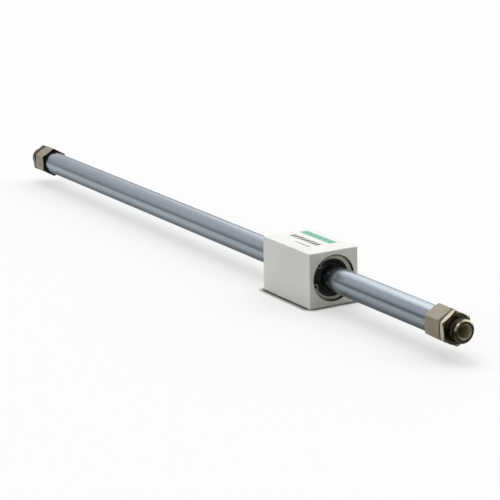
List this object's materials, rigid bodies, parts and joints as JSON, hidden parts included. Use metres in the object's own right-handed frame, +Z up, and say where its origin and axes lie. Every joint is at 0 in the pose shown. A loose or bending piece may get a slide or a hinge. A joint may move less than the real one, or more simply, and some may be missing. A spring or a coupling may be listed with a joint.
{
  "type": "rodless pneumatic cylinder",
  "caption": "Magnetically coupled rodless air cylinder: a square slider block runs along a long round tube with hexagonal end covers, mounting nuts and threaded noses with axial air ports.",
  "frame": {"origin": "on the tube's axis, half way along the cylinder", "axes": "+X along the tube towards the end cover nearer the slider, +Z up, away from the slider's tapped mounting face; the slider stands 131.5 mm towards +X from the middle"},
  "size_m": [0.6236, 0.039, 0.039],
  "materials": {
    "tube_steel": "ground and polished stainless",
    "cover_metal": "electroless nickel plated",
    "nut_steel": "nickel plated",
    "slider_aluminium": "fine blasted, clear anodised",
    "ring_steel": "phosphated spring steel",
    "holder_black": "black anodised",
    "rubber_black": "nitrile rubber",
    "bumper_urethane": "urethane",
    "felt": "oiled felt",
    "bearing_resin": "bearing resin",
    "piston_brass": "turned",
    "shaft_steel": "stainless",
    "magnet": "nickel plated rare-earth magnet",
    "yoke_steel": "zinc plated"
  },
  "bodies": {
    "barrel": {"cylinder_tube": "tube_steel", "left_end_cover": "cover_metal", "right_end_cover": "cover_metal", "left_mounting_nut": "nut_steel", "right_mounting_nut": "nut_steel", "left_tube_seal": "rubber_black", "right_tube_seal": "rubber_black", "left_bumper": "bumper_urethane", "right_bumper": "bumper_urethane"},
    "piston": {"piston_shaft": "shaft_steel", "left_piston": "piston_brass", "right_piston": "piston_brass", "left_piston_seal": "rubber_black", "right_piston_seal": "rubber_black", "left_piston_wear_ring": "bearing_resin", "right_piston_wear_ring": "bearing_resin", "left_piston_nut": "shaft_steel", "right_piston_nut": "shaft_steel", "inner_magnet_1": "magnet", "inner_magnet_2": "magnet", "inner_magnet_3": "magnet", "inner_magnet_4": "magnet", "inner_yoke_1": "yoke_steel", "inner_yoke_2": "yoke_steel", "inner_yoke_3": "yoke_steel", "inner_yoke_4": "yoke_steel", "inner_yoke_5": "yoke_steel"},
    "slider": {"slider_body": "slider_aluminium", "left_bearing_holder": "holder_black", "right_bearing_holder": "holder_black", "left_scraper": "rubber_black", "right_scraper": "rubber_black", "left_lube_felt": "felt", "right_lube_felt": "felt", "left_wear_ring": "bearing_resin", "right_wear_ring": "bearing_resin", "left_snap_ring": "ring_steel", "right_snap_ring": "ring_steel", "outer_magnet_1": "magnet", "outer_magnet_2": "magnet", "outer_magnet_3": "magnet", "outer_magnet_4": "magnet", "outer_yoke_1": "yoke_steel", "outer_yoke_2": "yoke_steel", "outer_yoke_3": "yoke_steel", "outer_yoke_4": "yoke_steel", "outer_yoke_5": "yoke_steel"}
  },
  "joints": [
    {"name": "piston_slide", "type": "slide", "parent": "barrel", "child": "piston", "axis": [1, 0, 0], "range_m": [-0.3815, 0.1185]},
    {"name": "slider_swivel", "type": "hinge", "parent": "piston", "child": "slider", "pos_m": [0.1315, 0, 0], "axis": [1, 0, 0], "continuous": true}
  ]
}
